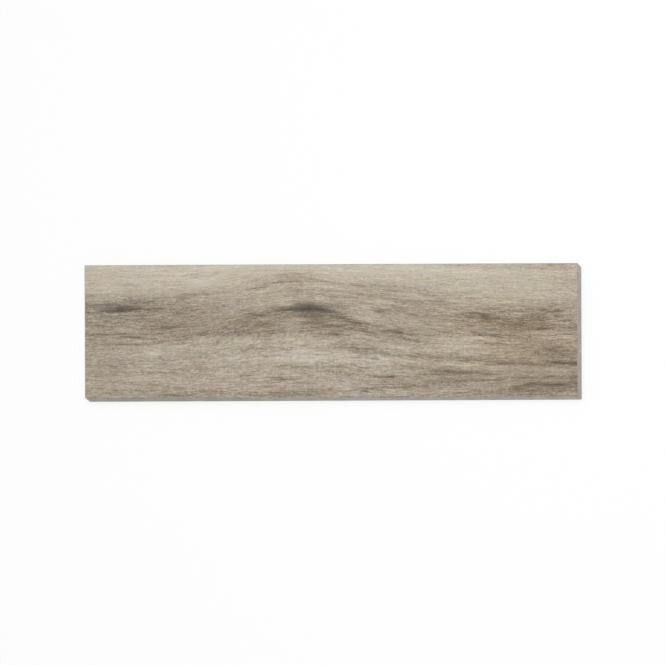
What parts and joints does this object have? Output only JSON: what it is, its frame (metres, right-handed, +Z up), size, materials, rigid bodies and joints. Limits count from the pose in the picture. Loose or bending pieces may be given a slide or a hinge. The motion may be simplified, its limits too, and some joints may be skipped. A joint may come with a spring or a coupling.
{
  "type": "floor tile",
  "caption": "Long rectangular porcelain floor tile with a matt wood-grain wear face, softly rounded arris and a shallow pocketed back that keys into adhesive.",
  "frame": {"origin": "middle of the back, on the plane of the rib tops that the tile rests on", "axes": "+X along the plank and its printed grain, +Y across it, +Z up out of the wear face"},
  "size_m": [0.61, 0.165, 0.009],
  "materials": {
    "porcelain": "matte"
  },
  "bodies": {
    "root": {"floor_tile": "porcelain"}
  },
  "joints": []
}
